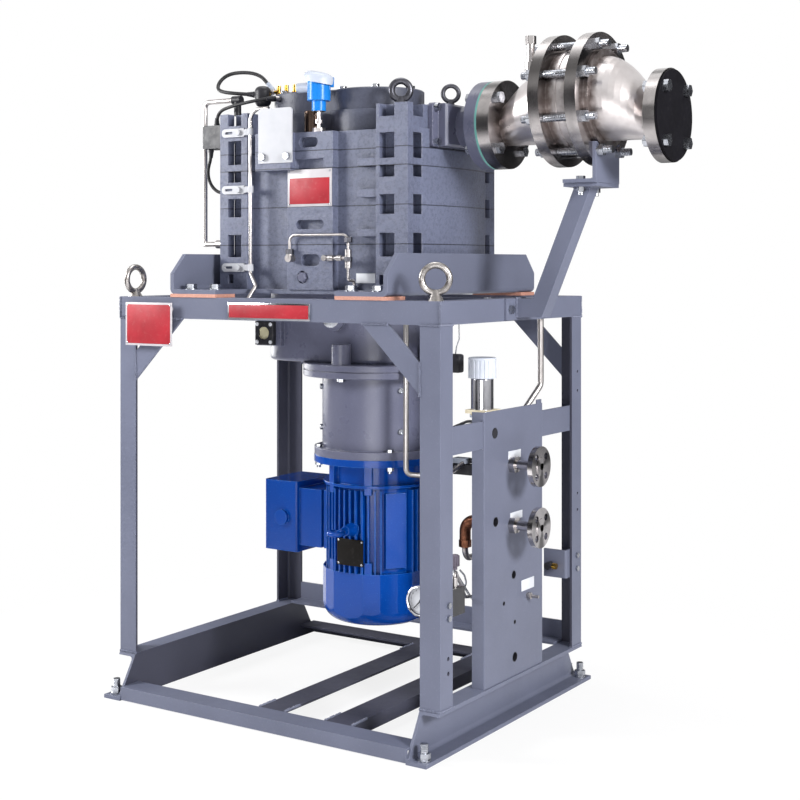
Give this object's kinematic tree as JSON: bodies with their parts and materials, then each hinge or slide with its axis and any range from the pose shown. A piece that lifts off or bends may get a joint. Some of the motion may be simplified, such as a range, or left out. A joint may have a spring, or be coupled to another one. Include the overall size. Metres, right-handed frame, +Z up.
{
  "type": "claw vacuum pump",
  "caption": "Upright dry claw vacuum pump with gearbox, coupling and flange motor in an angle-steel skid frame, with an inlet arrester and an instrument panel.",
  "frame": {"origin": "middle of the whole outline on the floor, under the skid", "axes": "+Z up; the inlet line leaves along +X; the front with the nameplate faces -Y"},
  "size_m": [1.291, 0.77, 1.538],
  "materials": {
    "frame_paint": "satin grey paint",
    "casting_paint": "satin grey paint on cast iron",
    "dark_casting": "satin dark grey paint on cast iron",
    "motor_paint": "gloss blue paint",
    "rotor_iron": "machined iron",
    "shaft_steel": "ground steel",
    "zinc_steel": "zinc plated",
    "stainless": "satin stainless steel",
    "chrome": "polished",
    "dark_steel": "dark forged steel",
    "pad_orange": "fabric laminate",
    "gasket_teal": "fibre gasket",
    "blank_black": "matt black",
    "winding": "lacquered copper on steel sheets",
    "fan_plastic": "moulded",
    "spider_orange": "cast elastomer",
    "knob_white": "ribbed moulding",
    "gauge_black": "case and block",
    "needle_black": "printed",
    "sensor_blue": "gloss blue paint",
    "sensor_white": "moulded cap",
    "black_plastic": "moulded",
    "cable_black": "sheathed cable",
    "glass_bezel": "sight glass in a black bezel"
  },
  "bodies": {
    "skid": {"channel_left": "frame_paint", "channel_right": "frame_paint", "base_members": "frame_paint", "corner_posts": "frame_paint", "rails_long": "frame_paint", "rails_side": "frame_paint", "frame_flats": "frame_paint", "foot_bolts": "zinc_steel", "frame_eyebolts": "chrome", "pump_brackets": "frame_paint", "isolation_pads": "pad_orange", "gearbox_housing": "casting_paint", "base_stage": "casting_paint", "lower_stage": "casting_paint", "upper_stage": "casting_paint", "inlet_plate": "casting_paint", "head_casting": "casting_paint", "top_cover": "dark_casting", "pump_bolts": "zinc_steel", "lifting_eyes": "dark_steel", "sight_glass": "glass_bezel", "shaft_bearings": "shaft_steel", "coupling_housing": "casting_paint", "motor_frame": "motor_paint", "motor_shields": "motor_paint", "motor_stator": "winding", "fan_cowl": "motor_paint", "terminal_box": "motor_paint", "inlet_adapter": "casting_paint", "inlet_gasket": "gasket_teal", "arrester_inlet": "stainless", "arrester_outlet": "stainless", "arrester_element": "stainless", "pipe_fasteners": "zinc_steel", "blank_cover": "blank_black", "support_bracket": "frame_paint", "support_arm": "frame_paint", "panel_plate": "frame_paint", "service_ports": "stainless", "regulator_body": "chrome", "gauge_body": "gauge_black", "sensor_body": "sensor_blue", "pipework": "stainless", "pipe_clamps": "zinc_steel", "junction_box": "black_plastic", "cable_loop": "cable_black"},
    "drive_rotor": {"drive_shaft": "shaft_steel", "drive_claws": "rotor_iron", "drive_gear": "shaft_steel", "coupling_upper": "rotor_iron", "coupling_spider": "spider_orange", "coupling_lower": "rotor_iron", "motor_rotor": "shaft_steel", "motor_fan": "fan_plastic"},
    "driven_rotor": {"driven_shaft": "shaft_steel", "driven_claws": "rotor_iron", "driven_gear": "shaft_steel"},
    "regulator_knob": {"regulator_knob": "knob_white"},
    "gauge_needle": {"gauge_needle": "needle_black"},
    "sensor_lid": {"sensor_lid": "sensor_white"}
  },
  "joints": [
    {"name": "drive_spin", "type": "hinge", "parent": "skid", "child": "drive_rotor", "pos_m": [-0.0955, -0.04, 0.872], "axis": [0, 0, 1], "continuous": true},
    {"name": "driven_spin", "type": "hinge", "parent": "skid", "child": "driven_rotor", "pos_m": [-0.2655, -0.04, 0.872], "axis": [0, 0, 1], "continuous": true},
    {"name": "regulator_turn", "type": "hinge", "parent": "skid", "child": "regulator_knob", "pos_m": [0.2185, -0.093, 0.79], "axis": [0, 0, 1], "range_deg": [-540, 540]},
    {"name": "needle_swing", "type": "hinge", "parent": "skid", "child": "gauge_needle", "pos_m": [0.1705, -0.274, 0.31], "axis": [0, 1, 0], "range_deg": [0, 270]},
    {"name": "lid_swing", "type": "hinge", "parent": "skid", "child": "sensor_lid", "pos_m": [-0.1655, -0.14, 1.458], "axis": [-1, 0, 0], "range_deg": [0, 110]}
  ],
  "couplings": [
    {"joint": "driven_spin", "follows": "drive_spin", "ratio": -1}
  ]
}
